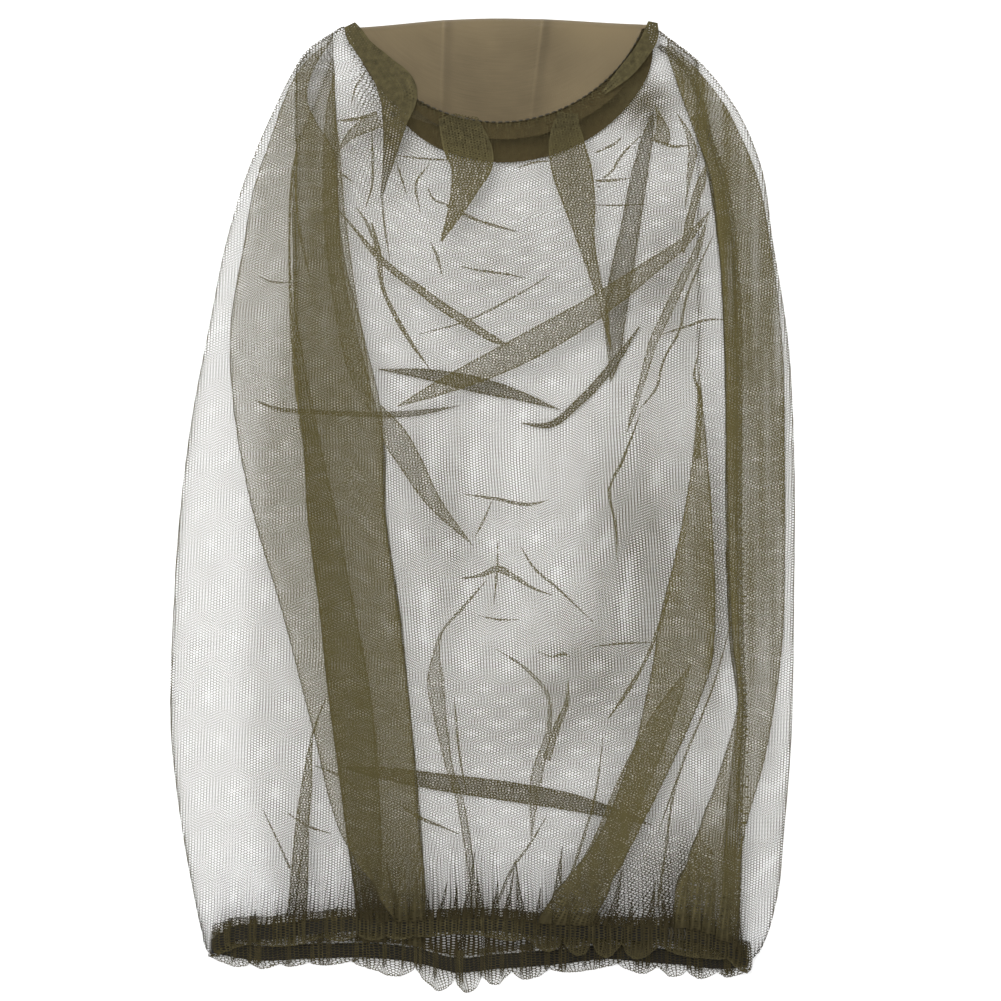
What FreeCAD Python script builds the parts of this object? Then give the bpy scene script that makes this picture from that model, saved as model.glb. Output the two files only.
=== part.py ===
import FreeCAD, Part
import math
import os
import Sketcher

# A beekeeping veil, lying flat as it comes out of its packet: a tube of netting
# gathered onto a round cloth crown at +Y and onto an elastic neck band at -Y.
# +X is to the right, +Z points up, and the veil rests on Z = 0.
# Every cloth is a thin wall with the true outer shape, open at the neck.

VECTOR = FreeCAD.Vector

doc = FreeCAD.newDocument("beekeeping_veil")
sheet = doc.addObject("Spreadsheet::Sheet", "Sheet")

# Cross-sections from the neck to the crown. Each one has its Y, its reach to the
# left and to the right of X = 0, and how high the upper cloth stands there.
STATION_KEYS = ("y", "left", "right", "rise")
STATIONS = {
    "rim": (-250, 137, 136, 14),
    "mouth": (-213, 147.5, 150.5, 15),
    "low": (-145, 158.5, 158.5, 19),
    "waist": (-78, 161, 160.5, 21),
    "middle": (-10, 157, 161, 22),
    "upper": (60, 147.5, 158, 22),
    "chest": (130, 134, 150, 20),
    "shoulder": (190, 115, 136, 15),
    "fold": (250, 66, 86, 8),
}
BAG = ("mouth", "low", "waist", "middle", "upper", "chest", "shoulder", "fold")
HEM = ("rim", "mouth")
DIMENSIONS = {
    "cloth": 0.8,               # wall of the netting and of the crown cloth
    "allowance": 1.2,           # gathered seam allowance, inside the cloth
    "thread": 0.35,             # how far a stitch stands out of the cloth
    "press": 0.1,               # how far the cloth is pressed flat where it rests
    "casing": 3.6,              # folded hem, through both of its plies
    "ply": 0.8,                 # outer ply of the hem
    "channel": 2,               # room for the elastic between the plies
    "channel_end": 7,           # from the rim to the channel's closed end
    "play": 0.4,                # elastic to either ply
    "elastic_thick": 1.2,
    "elastic_low": 10,          # from the rim to the elastic's lower edge
    "elastic_wide": 8,
    "split": 4,                 # height where back cloth turns into front cloth
    "tall": 40,                 # taller than the veil
    "broad": 400,               # wider than the veil
    "crown_radius": 80,
    "crown_x": 8.5,
    "crown_front_y": 276,       # centre of the crown disc's front half
    "crown_back_y": 266,        # centre of its back half, which hangs deeper
    "crown_band": 11,           # seam allowance round the crown
    "seam_x": 133,              # side seam, straight up to seam_turn
    "seam_turn": 90,            # above this it curves in to the crown
    "seam_radius": 264,
    "seam_band": 8,
    "stitch_long": 3,
    "stitch_wide": 0.8,
    "stitch_pitch": 5,
    "stitch_y": -218,           # row that closes the hem
    "bartack_x": 96,
    "bar_wide": 1,
    "bar_pitch": 2,
    "bar_high": 0.3,
}
CROWN_SEAM_SPAN = 118           # degrees of the crown disc that the front seam covers
SIDE_SEAM_SPAN = 28             # degrees of the side seam's curved stretch
CROWN_STITCHES = 32
SIDE_CURVE_STITCHES = 25
SIDE_STITCHES = 60
HEM_STITCHES = 54
BARTACK_BARS = 5
STITCH_LONG = "Sheet.stitch_long"
STITCH_WIDE = "Sheet.stitch_wide"


def fill_sheet():
    """Puts every driving dimension in a cell named after it."""
    cells = dict(DIMENSIONS)
    for name, numbers in STATIONS.items():
        for key, number in zip(STATION_KEYS, numbers):
            cells[f"{name}_{key}"] = number
    for row, (alias, number) in enumerate(cells.items(), start=1):
        sheet.set(f"A{row}", alias)
        sheet.set(f"B{row}", str(number))
        sheet.setAlias(f"B{row}", alias)
    doc.recompute()


def value(expression):
    return float(sheet.evalExpression(expression))


def origin_feature(body, role):
    return next(item for item in body.Origin.OriginFeatures if item.Role == role)


def plane_sketch(body, name, role):
    sketch = body.newObject("Sketcher::SketchObject", name)
    sketch.AttachmentSupport = [(origin_feature(body, role), "")]
    sketch.MapMode = "FlatFace"
    return sketch


def bind(sketch, kind, elements, expression):
    """Adds a dimension to a sketch and binds it to the sheet."""
    constraint = Sketcher.Constraint(kind, *elements, value(expression))
    index = sketch.addConstraint(constraint)
    sketch.setExpression(f"Constraints[{index}]", expression)


def section_sketch(body, name, station, inset, shift):
    """A rounded flat section: two level lines joined by half circles."""
    sketch = plane_sketch(body, name, "XZ_Plane")
    sketch.setExpression(".AttachmentOffset.Base.z", f"-(Sheet.{station}_y{shift})")
    half = f"Sheet.{station}_rise / 2"
    radius_of = f"{half} - ({inset})"
    right_of, left_of = f"Sheet.{station}_right - {half}", f"Sheet.{station}_left - {half}"
    middle, radius = value(half), value(radius_of)
    right, left = value(right_of), -value(left_of)
    up, quarter = VECTOR(0, 0, 1), math.pi / 2
    low, high = middle - radius, middle + radius
    sketch.addGeometry([
        Part.LineSegment(VECTOR(left, low, 0), VECTOR(right, low, 0)),
        Part.ArcOfCircle(Part.Circle(VECTOR(right, middle, 0), up, radius), -quarter, quarter),
        Part.LineSegment(VECTOR(right, high, 0), VECTOR(left, high, 0)),
        Part.ArcOfCircle(Part.Circle(VECTOR(left, middle, 0), up, radius), quarter, 3 * quarter),
    ], False)
    for first, second in ((0, 1), (1, 2), (2, 3), (3, 0)):
        sketch.addConstraint(Sketcher.Constraint("Tangent", first, 2, second, 1))
    sketch.addConstraint(Sketcher.Constraint("Horizontal", 0))
    bind(sketch, "DistanceX", (-1, 1, 1, 3), right_of)
    bind(sketch, "DistanceX", (3, 3, -1, 1), left_of)
    bind(sketch, "DistanceY", (-1, 1, 1, 3), half)
    bind(sketch, "Radius", (1,), radius_of)
    bind(sketch, "Radius", (3,), radius_of)
    return sketch


def loft(body, kind, stations, inset, first_shift, last_shift):
    """Skins the stations' sections; the shifts move the two end sections along Y."""
    shifts = [first_shift] + [""] * (len(stations) - 2) + [last_shift]
    sections = [section_sketch(body, f"{body.Name}_{kind}_{station}", station, inset, shift)
                for station, shift in zip(stations, shifts)]
    doc.recompute()
    feature = body.newObject(f"PartDesign::{kind}Loft", f"{body.Name}_{kind}")
    feature.Profile = sections[0]
    feature.Sections = sections[1:]
    doc.recompute()


def bag_wall(name, outer, inner):
    """A wall of the bag between two insets, open at the neck and shut at the fold."""
    body = doc.addObject("PartDesign::Body", name)
    loft(body, "Additive", BAG, outer, "", f" - max({outer}; 0)")
    loft(body, "Subtractive", BAG, inner, " - Sheet.cloth", f" - max({inner}; 0)")
    return body


def hem_ring(name, outer, inner):
    """A wall of the flattened hem between two insets, open at both ends."""
    body = doc.addObject("PartDesign::Body", name)
    loft(body, "Additive", HEM, outer, "", "")
    loft(body, "Subtractive", HEM, inner, " - Sheet.cloth", " + Sheet.cloth")
    return body


def box(name, place, size):
    """A box whose corner and sides are bound to the sheet."""
    solid = doc.addObject("Part::Box", name)
    for side, expression in zip(("Length", "Width", "Height"), size):
        solid.setExpression(side, expression)
    for axis, expression in zip("xyz", place):
        solid.setExpression(f".Placement.Base.{axis}", expression)
    return solid


def disc(name, centre_x, centre_y, radius):
    """An upright disc, taller than the veil."""
    solid = doc.addObject("Part::Cylinder", name)
    solid.setExpression("Radius", radius)
    solid.setExpression("Height", "Sheet.tall")
    solid.setExpression(".Placement.Base.x", centre_x)
    solid.setExpression(".Placement.Base.y", centre_y)
    return solid


def combine(kind, name, *parts):
    """A boolean: Cut and Common take a base and a tool, MultiFuse takes any number."""
    feature = doc.addObject(f"Part::{kind}", name)
    if kind == "MultiFuse":
        feature.Shapes = list(parts)
    else:
        feature.Base, feature.Tool = parts
    return feature


def slab(name, low_y, high_y, low_z, high_z):
    """Everything between two heights and two places along the veil."""
    return box(name, ("-Sheet.broad / 2", low_y, low_z),
               ("Sheet.broad", f"{high_y} - ({low_y})", f"{high_z} - ({low_z})"))


def upper_half(name):
    return slab(name, "-Sheet.broad", "Sheet.broad", "Sheet.split", "Sheet.tall")


def lower_half(name):
    return slab(name, "-Sheet.broad", "Sheet.broad", "-Sheet.tall", "Sheet.split")


def crown_region(name, radius):
    """The folded crown disc seen from above: its front half and its deeper back half."""
    front_disc = disc(f"{name}_front_disc", "Sheet.crown_x", "Sheet.crown_front_y", radius)
    back_disc = disc(f"{name}_back_disc", "Sheet.crown_x", "Sheet.crown_back_y", radius)
    front = combine("Common", f"{name}_front", front_disc, upper_half(f"{name}_above"))
    back = combine("Common", f"{name}_back", back_disc, lower_half(f"{name}_below"))
    return combine("MultiFuse", name, front, back)


def dashes(name, corner, size, pattern, axis, count, span, place=("0", "0"), turn=0):
    """A row of upright bars that cross the veil, one for each stitch.

    corner and size are the bar's rectangle in the row's own frame, and the bars
    repeat along or about the axis over the span. place and turn set the frame.
    """
    body = doc.addObject("PartDesign::Body", name)
    body.Placement = FreeCAD.Placement(VECTOR(), FreeCAD.Rotation(VECTOR(0, 0, 1), turn))
    for axis_name, expression in zip("xy", place):
        body.setExpression(f".Placement.Base.{axis_name}", expression)
    sketch = plane_sketch(body, f"{name}_bar", "XY_Plane")
    low_x, low_y = (value(expression) for expression in corner)
    high_x, high_y = low_x + value(size[0]), low_y + value(size[1])
    corners = [VECTOR(x, y, 0) for x, y in
               ((low_x, low_y), (high_x, low_y), (high_x, high_y), (low_x, high_y))]
    for start, end in zip(corners, corners[1:] + corners[:1]):
        sketch.addGeometry(Part.LineSegment(start, end), False)
    for line, direction in enumerate(("Horizontal", "Vertical", "Horizontal", "Vertical")):
        sketch.addConstraint(Sketcher.Constraint("Coincident", line, 2, (line + 1) % 4, 1))
        sketch.addConstraint(Sketcher.Constraint(direction, line))
    bind(sketch, "DistanceX", (-1, 1, 0, 1), corner[0])
    bind(sketch, "DistanceY", (-1, 1, 0, 1), corner[1])
    bind(sketch, "DistanceX", (0, 1, 0, 2), size[0])
    bind(sketch, "DistanceY", (1, 1, 1, 2), size[1])
    pad = body.newObject("PartDesign::Pad", f"{name}_pad")
    pad.Profile = sketch
    pad.setExpression("Length", "Sheet.tall")
    doc.recompute()
    row = body.newObject(f"PartDesign::{pattern}Pattern", f"{name}_row")
    row.Originals = [pad]
    row.Occurrences = count
    reference = (origin_feature(body, axis), [""])
    if pattern == "Polar":
        row.Axis, row.Angle = reference, span
    else:
        row.Direction = reference
        row.setExpression("Length", span)
    body.Tip = row
    doc.recompute()
    return body


def pressed_flat(name, wall):
    """The wall with a true plane at Z = 0, where the veil lies on a surface."""
    ground = slab(f"{name}_ground", "-Sheet.broad", "Sheet.broad", "-Sheet.tall", "0")
    return combine("Cut", name, wall, ground)


def crown_and_net(crown):
    """The bag's wall, parted into the crown, the net's front and the net's back."""
    bag = pressed_flat("bag", bag_wall("bag_wall", "-Sheet.press", "Sheet.cloth"))
    net = combine("Cut", "net", bag, crown)
    return (combine("Common", "crown_panel", bag, crown),
            combine("Common", "net_front", net, upper_half("front_side")),
            combine("Common", "net_back", net, lower_half("back_side")))


def crown_seam(crown, banded, lining, skin):
    """The gathered allowance inside the crown's edge, and the stitches along its front."""
    band = combine("Cut", "crown_ring", banded, crown)
    row = dashes("crown_row", (f"Sheet.crown_radius - {STITCH_WIDE}", f"-{STITCH_LONG} / 2"),
                 (STITCH_WIDE, STITCH_LONG), "Polar", "Z_Axis", CROWN_STITCHES, CROWN_SEAM_SPAN,
                 ("Sheet.crown_x", "Sheet.crown_front_y"), -90 - CROWN_SEAM_SPAN / 2)
    return (combine("Common", "crown_seam_allowance", lining, band),
            combine("Common", "crown_seam_stitching", skin, row))


def side_seam(banded, lining, skin):
    """The strip of allowance that joins the tube's two edges, and its stitches."""
    run = box("seam_run", ("Sheet.seam_x - Sheet.seam_band", "Sheet.mouth_y", "Sheet.split"),
              ("Sheet.seam_band", "Sheet.seam_turn - Sheet.mouth_y", "Sheet.tall"))
    curve_x = "Sheet.seam_x - Sheet.seam_radius"
    outer = disc("seam_curve_outer", curve_x, "Sheet.seam_turn", "Sheet.seam_radius")
    inner = disc("seam_curve_inner", curve_x, "Sheet.seam_turn",
                 "Sheet.seam_radius - Sheet.seam_band")
    corner = box("seam_corner", ("0", "Sheet.seam_turn", "Sheet.split"),
                 ("Sheet.broad", "Sheet.broad", "Sheet.tall"))
    curve = combine("Common", "seam_curve", combine("Cut", "seam_curve_rim", outer, inner), corner)
    strip = combine("Common", "side_strip", lining, combine("MultiFuse", "seam_path", run, curve))
    straight_row = dashes("side_row", (f"Sheet.seam_x - {STITCH_WIDE}", "Sheet.mouth_y"),
                          (STITCH_WIDE, STITCH_LONG), "Linear", "Y_Axis", SIDE_STITCHES,
                          f"Sheet.stitch_pitch * {SIDE_STITCHES - 1}")
    curved_row = dashes("side_curve", (f"Sheet.seam_radius - {STITCH_WIDE}", STITCH_LONG),
                        (STITCH_WIDE, STITCH_LONG), "Polar", "Z_Axis", SIDE_CURVE_STITCHES,
                        SIDE_SEAM_SPAN, (curve_x, "Sheet.seam_turn"))
    rows = combine("MultiFuse", "side_rows", straight_row, curved_row)
    return (combine("Cut", "side_seam_allowance", strip, banded),
            combine("Common", "side_seam_stitching", skin, rows))


def hem():
    """The folded hem with its channel, the row that closes it, and the elastic inside."""
    channel = combine("Common", "channel",
                      hem_ring("channel_ring", "Sheet.ply", "Sheet.ply + Sheet.channel"),
                      slab("channel_length", "Sheet.rim_y + Sheet.channel_end",
                           "Sheet.broad", "-Sheet.tall", "Sheet.tall"))
    ring = pressed_flat("pressed_ring", hem_ring("casing_ring", "-Sheet.press", "Sheet.casing"))
    casing = combine("Cut", "hem_casing", ring, channel)
    row = dashes("hem_row", (f"-Sheet.stitch_pitch * {HEM_STITCHES} / 2", "Sheet.stitch_y"),
                 (STITCH_LONG, STITCH_WIDE), "Linear", "X_Axis", HEM_STITCHES,
                 f"Sheet.stitch_pitch * {HEM_STITCHES - 1}")
    stitching = combine("Common", "hem_stitching", row,
                        hem_ring("hem_skin", "-Sheet.thread", "-Sheet.press"))

    face, low = "Sheet.ply + Sheet.play", "Sheet.rim_y + Sheet.elastic_low"
    elastic = combine("Common", "neck_elastic",
                      hem_ring("elastic_ring", face, f"{face} + Sheet.elastic_thick"),
                      slab("elastic_length", low, f"{low} + Sheet.elastic_wide",
                           "-Sheet.tall", "Sheet.tall"))
    bars = dashes("bartack_row", ("Sheet.bartack_x", low), ("Sheet.bar_wide", "Sheet.elastic_wide"),
                  "Linear", "X_Axis", BARTACK_BARS, f"Sheet.bar_pitch * {BARTACK_BARS - 1}")
    bartack = combine("Common", "elastic_bartack",
                      combine("Common", "front_bars", bars, upper_half("bartack_side")),
                      hem_ring("bartack_ring", f"{face} - Sheet.bar_high", face))
    return casing, stitching, elastic, bartack


def build():
    """Every piece of the veil."""
    crown = crown_region("crown_disc", "Sheet.crown_radius")
    banded = crown_region("crown_banded", "Sheet.crown_radius + Sheet.crown_band")
    lining = bag_wall("lining", "Sheet.cloth", "Sheet.cloth + Sheet.allowance")
    skin = bag_wall("thread_skin", "-Sheet.thread", "-Sheet.press")
    return (crown_and_net(crown) + crown_seam(crown, banded, lining, skin)
            + side_seam(banded, lining, skin) + hem())


def check(parts):
    """Stops before anything is written if a feature failed or a shape is bad."""
    for item in doc.Objects:
        if "Invalid" in item.State or "Error" in item.State:
            raise RuntimeError(f"{item.Label} did not recompute: {item.State}")
    for part in parts:
        if part.Shape.isNull() or not part.Shape.isValid() or not part.Shape.Solids:
            raise RuntimeError(f"{part.Label} has no sound solid")


fill_sheet()
pieces = build()
doc.recompute()
check(pieces)
os.makedirs("parts", exist_ok=True)
for piece in pieces:
    piece.Shape.exportStep(f"parts/{piece.Label}.step")
    print(piece.Label, len(piece.Shape.Solids), "solids", round(piece.Shape.Volume), "mm3")
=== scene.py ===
import math

import bpy
import numpy as np
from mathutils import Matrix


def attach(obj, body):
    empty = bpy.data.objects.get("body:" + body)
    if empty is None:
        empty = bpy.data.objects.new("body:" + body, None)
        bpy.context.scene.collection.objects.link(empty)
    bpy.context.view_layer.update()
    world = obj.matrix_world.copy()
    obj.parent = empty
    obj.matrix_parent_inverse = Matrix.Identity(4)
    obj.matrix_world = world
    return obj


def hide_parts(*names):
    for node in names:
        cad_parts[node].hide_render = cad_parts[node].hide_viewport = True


# A beekeeping veil of olive tulle lying flat: crown at +Y, elastic neck hem at -Y.
# Lengths in this script are millimetres, and become metres where a mesh is made.

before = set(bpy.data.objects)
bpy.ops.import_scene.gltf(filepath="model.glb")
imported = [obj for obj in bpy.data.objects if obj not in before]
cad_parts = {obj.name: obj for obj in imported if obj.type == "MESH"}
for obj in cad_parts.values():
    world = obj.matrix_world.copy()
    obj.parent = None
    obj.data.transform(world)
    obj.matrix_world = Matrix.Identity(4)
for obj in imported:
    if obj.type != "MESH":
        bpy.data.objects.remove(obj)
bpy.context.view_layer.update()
MM = 0.001
LAYER = 0.6  # between two layers of cloth that lie on each other
RIBBON_STEP = 1.5  # between the rows of a strip of cloth
FRILL_PITCH = 5.3  # of the wave that runs along such a strip

# ---------------- small helpers


def through(knots, at):
    """Smooth curve through (position, value) knots, level past both ends."""
    knots = np.array(sorted(knots), float)
    place, value = knots[:, 0], knots[:, 1]
    slope = np.gradient(value, place)
    at = np.clip(at, place[0], place[-1])
    index = np.clip(np.searchsorted(place, at) - 1, 0, len(place) - 2)
    span = place[index + 1] - place[index]
    share = (at - place[index]) / span
    rest = 1 - share
    return (value[index] * rest * rest * (1 + 2 * share)
            + value[index + 1] * share * share * (3 - 2 * share)
            + span * share * rest * (slope[index] * rest - slope[index + 1] * share))


def ease(share):
    """0 to 1 with level ends."""
    share = np.clip(share, 0, 1)
    return share * share * (3 - 2 * share)


def waves(x, y, scale, seed):
    """Smooth irregular swell between about -1 and 1, its bumps about scale apart."""
    angles = np.array((0.3, 1.25, 2.2, 2.9)) + seed
    total = 0
    for number, angle in enumerate(angles):
        across = x * math.cos(angle) + y * math.sin(angle)
        along = y * math.cos(angle) - x * math.sin(angle)
        bend = 0.6 * np.sin(along / scale * 1.7 + seed * 3 + number)
        pitch = scale * (1 + 0.23 * number)
        total = total + np.sin(across * math.tau / pitch + bend + seed * 7 + number)
    return total / len(angles)


def turned(x, y, degrees):
    """Places turned about the origin."""
    angle = math.radians(degrees)
    return np.stack((x * math.cos(angle) - y * math.sin(angle),
                     x * math.sin(angle) + y * math.cos(angle)), -1)


def put(name, data):
    """An object in the scene that shows the mesh, light or camera."""
    thing = bpy.data.objects.new(name, data)
    bpy.context.scene.collection.objects.link(thing)
    return thing


def make_piece(name, material, points, faces, cloth=None, gather=None, light_and_shade=None):
    """A mesh from points in mm, with places on the cloth, gathering, and painted light and shade at its
    points.
    """
    mesh = bpy.data.meshes.new(name)
    mesh.from_pydata((points * MM).tolist(), [], faces.tolist())
    if cloth is not None:
        corner = np.zeros(len(mesh.loops), np.int32)
        mesh.loops.foreach_get("vertex_index", corner)
        layer = mesh.uv_layers.new(name="cloth")
        layer.data.foreach_set("uv", (cloth * MM)[corner].ravel())
    for label, values in (("gather", gather), ("light_and_shade", light_and_shade)):
        if values is not None:
            attribute = mesh.attributes.new(label, "FLOAT", "POINT")
            values = np.broadcast_to(np.ravel(values), len(points)).astype(np.float32)
            attribute.data.foreach_set("value", values)
    mesh.materials.append(material)
    mesh.polygons.foreach_set("use_smooth", [True] * len(mesh.polygons))
    mesh.update()
    piece = put(name, mesh)
    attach(piece, "root")
    return piece


def grid_faces(rows, columns, closed=False):
    """Quads of a grid numbered row by row; closed joins the last column to the first."""
    row, column = np.meshgrid(np.arange(rows - 1), np.arange(columns if closed else columns - 1),
                              indexing="ij")
    following = (column + 1) % columns
    low, high = row * columns, (row + 1) * columns
    return np.stack((low + column, low + following, high + following, high + column),
                    -1).reshape(-1, 4)


def ribbon(path, width, height, across=6, frill=0.0, seed=0.0):
    """A strip of cloth along (x, y) knots: its grid of points and their places on the cloth.

    width is a number or knots of (share of the length, width); across is a count of
    columns or their places from -0.5 to 0.5.
    """
    knots = np.array(path, float)
    chord = np.append(0, np.cumsum(np.hypot(*np.diff(knots, axis=0).T)))
    at = np.linspace(0, chord[-1], int(chord[-1] / RIBBON_STEP) + 2)
    x, y = (through(list(zip(chord, knots[:, part])), at) for part in range(2))
    turn = np.stack((np.gradient(x), np.gradient(y)), -1)
    turn /= np.linalg.norm(turn, axis=1)[:, None]
    if np.ndim(width):
        width = through(width, at / chord[-1])[:, None]
    shares = np.array(across) if np.ndim(across) else np.linspace(-0.5, 0.5, across)
    side = shares[None, :] * width
    px = x[:, None] - turn[:, 1:] * side
    py = y[:, None] + turn[:, :1] * side
    wave = frill * np.sin(at * math.tau / FRILL_PITCH + 1.3 * np.sin(at / 7 + seed) + seed)
    points = np.stack((px, py, height(px, py) + wave[:, None]), -1)
    cloth = np.stack((side + 0 * px, at[:, None] + 0 * px), -1)
    return points, cloth


def join_grids(grids):
    """Points, faces and cloth places of several grids as one mesh."""
    points, faces, cloth, start = [], [], [], 0
    for grid, place in grids:
        points.append(grid.reshape(-1, 3))
        cloth.append(place.reshape(-1, 2))
        faces.append(grid_faces(*grid.shape[:2]) + start)
        start += grid.shape[0] * grid.shape[1]
    return np.concatenate(points), np.concatenate(faces), np.concatenate(cloth)


# ---------------- materials


def shade(tint, amount=1.0):
    """A colour made lighter or darker, in the form that a shader takes."""
    return tuple(amount * part for part in tint) + (1.0,)


class Nodes:
    """Short calls for building a material's node tree."""

    def __init__(self, name):
        self.material = bpy.data.materials.new(name)
        self.material.use_nodes = True
        self.tree = self.material.node_tree
        self.tree.nodes.clear()

    def node(self, kind, output, inputs=(), **settings):
        """The output of a new node, whose inputs are numbers, colours or other outputs."""
        node = self.tree.nodes.new("ShaderNode" + kind)
        for key, setting in settings.items():
            setattr(node, key, setting)
        for key, source in dict(inputs).items():
            if isinstance(source, (int, float, tuple)):
                node.inputs[key].default_value = source
            else:
                self.tree.links.new(source, node.inputs[key])
        return node.outputs[output]

    def math(self, operation, *sources):
        return self.node("Math", "Value", enumerate(sources), operation=operation)

    def vector(self, operation, *sources):
        output = "Value" if operation == "DOT_PRODUCT" else "Vector"
        return self.node("VectorMath", output, enumerate(sources), operation=operation)

    def stripes(self, place, x, y=0.0, z=0.0):
        """Sine waves over the place, turning by (x, y, z) radians per unit of it."""
        return self.math("SINE", self.vector("DOT_PRODUCT", place, (x, y, z)))

    def noise(self, where, scale, detail=2.0):
        return self.node("TexNoise", "Fac", {"Vector": where, "Scale": scale, "Detail": detail})

    def blend(self, share, first, second):
        return self.node("Mix", "Result", {"Factor": share, "A": first, "B": second},
                         data_type="RGBA")

    def ramp(self, source, low, high, start=0.0, end=1.0):
        return self.node("MapRange", "Result", {"Value": source, "From Min": low, "From Max": high,
                                                "To Min": start, "To Max": end})

    def attribute(self, name):
        return self.node("Attribute", "Fac", attribute_name=name)

    def cloth_place(self):
        """Cloth coordinates in millimetres."""
        return self.vector("MULTIPLY", self.node("UVMap", "UV", uv_map="cloth"),
                           (1 / MM, 1 / MM, 0.0))

    def lit_and_shaded(self, colour, high, low):
        """The colour with painted light and shade: blended to high, the painted light, where the point
        attribute is 1, and to low, the painted shade, where it is -1.
        """
        light_and_shade = self.attribute("light_and_shade")
        colour = self.blend(self.math("MAXIMUM", light_and_shade, 0.0), colour, high)
        return self.blend(self.math("MAXIMUM", self.math("MULTIPLY", light_and_shade, -1.0), 0.0), colour, low)

    def finish(self, height=None, distance=0.0, **sockets):
        """The material, its bumps given by a height and their depth in metres."""
        inputs = {name.replace("_", " "): source for name, source in sockets.items()}
        if height is not None:
            inputs["Normal"] = self.node("Bump", "Normal", {"Distance": distance,
                                                            "Height": height})
        output = self.tree.nodes.new("ShaderNodeOutputMaterial")
        self.tree.links.new(self.node("BsdfPrincipled", "BSDF", inputs), output.inputs["Surface"])
        return self.material


OLIVE = (0.070, 0.059, 0.026)  # one layer of the net
PAINTED_LIGHT_OLIVE = (0.098, 0.082, 0.032)  # painted light: the warmer colour of light that comes through several layers
PAINTED_SHADE_OLIVE = (0.022, 0.017, 0.006)  # painted shade, deep in the gathers, at the hem and below the crown's seam
HOLE_WIDTH, HOLE_HEIGHT = 1.75, 1.37  # of the net's hexagons, between strand middles
STRAY = 1.2  # how far the rows of holes stray sideways
THREAD_LAY = (9000.0, 9000.0, 4000.0)  # radians of twist per metre
RIB_PITCH, PICK_PITCH = 1.1, 0.7  # of the braided elastic


def hexagon_edge(nodes, place):
    """0 at a hole's centre, 0.5 on the strand between two holes of a tulle net."""
    root = math.sqrt(3)
    cell, half = (root, 1.0, 1.0), (root / 2, 0.5, 0.5)
    spot = nodes.vector("MULTIPLY", place, (1 / HOLE_WIDTH, 1 / HOLE_HEIGHT, 0.0))
    halves = []
    for shifted in (spot, nodes.vector("SUBTRACT", spot, half)):
        wrapped = nodes.vector("MULTIPLY", nodes.vector(
            "FRACTION", nodes.vector("DIVIDE", shifted, cell)), cell)
        centred = nodes.vector("MULTIPLY", nodes.vector("SUBTRACT", wrapped, half),
                               (1.0, 1.0, 0.0))
        halves.append((centred, nodes.vector("DOT_PRODUCT", centred, centred)))
    (first, first_far), (second, second_far) = halves
    nearer = nodes.math("LESS_THAN", first_far, second_far)
    nearest = nodes.node("Mix", 1, {"Factor": nearer, 4: second, 5: first}, data_type="VECTOR")
    folded = nodes.vector("ABSOLUTE", nearest)
    slanted = nodes.vector("DOT_PRODUCT", folded, (root / 2, 0.5, 0.0))
    upright = nodes.vector("DOT_PRODUCT", folded, (0.0, 1.0, 0.0))
    return nodes.math("MAXIMUM", slanted, upright)


def net_material(name, strand):
    """Tulle with hexagonal holes; strand is half a strand's width, as a share of a hole."""
    nodes = Nodes(name)
    place = nodes.cloth_place()
    stray = nodes.math("MULTIPLY", nodes.math("SUBTRACT", nodes.noise(place, 0.05), 0.5), STRAY)
    sideways = nodes.node("CombineXYZ", "Vector", {"X": stray})
    edge = hexagon_edge(nodes, nodes.vector("ADD", place, sideways))
    uneven = nodes.ramp(nodes.noise(place, 0.11), 0.3, 0.7, 0.9, 1.1)
    width = nodes.math("MULTIPLY", uneven, nodes.math(
        "MULTIPLY_ADD", nodes.attribute("gather"), 3 * strand, strand))
    mask = nodes.math("GREATER_THAN", edge, nodes.math("SUBTRACT", 0.5, width))
    cloud = nodes.ramp(nodes.noise(place, 0.35, 3.0), 0.3, 0.7)
    colour = nodes.blend(cloud, shade(OLIVE, 0.55), shade(OLIVE, 1.25))
    # Painted light and shade from the point attribute, laid over the net's own cloudy colour.
    colour = nodes.lit_and_shaded(colour, shade(PAINTED_LIGHT_OLIVE), shade(PAINTED_SHADE_OLIVE))
    return nodes.finish(Base_Color=colour, Alpha=mask, Roughness=0.75,
                        Specular_IOR_Level=0.1, Sheen_Weight=0.03, Sheen_Roughness=0.4)


def cloth_material(name, tint, thread, sheen):
    """Thin plain-woven cloth: fine crossed threads, cloudy colour and a soft sheen."""
    nodes = Nodes(name)
    place = nodes.cloth_place()
    weave = nodes.math("MULTIPLY", nodes.stripes(place, math.tau / thread),
                       nodes.stripes(place, 0.0, math.tau / thread))
    slub = nodes.noise(nodes.vector("MULTIPLY", place, (0.06, 1.6, 0.0)), 1.0, 3.0)
    cloud = nodes.noise(place, 0.035, 3.0)
    # Mostly the cloth's own uneven colour from cloud and slub; the weave's small share follows its
    # bump, painted shade in the hollows between threads.
    share = nodes.math("MULTIPLY_ADD", cloud, 0.6, nodes.math("MULTIPLY", weave, 0.05))
    share = nodes.math("MULTIPLY_ADD", slub, 0.35, share)
    colour = nodes.blend(nodes.ramp(share, 0.3, 0.65), shade(tint, 0.8), shade(tint, 1.2))
    # Painted light and shade from the point attribute.
    colour = nodes.lit_and_shaded(colour, shade(tint, 1.5), shade(tint, 0.55))
    return nodes.finish(height=weave, distance=0.0001, Base_Color=colour,
                        Roughness=nodes.ramp(cloud, 0.3, 0.7, 0.5, 0.66),
                        Specular_IOR_Level=0.2, Sheen_Weight=sheen, Sheen_Roughness=0.35)


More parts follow.
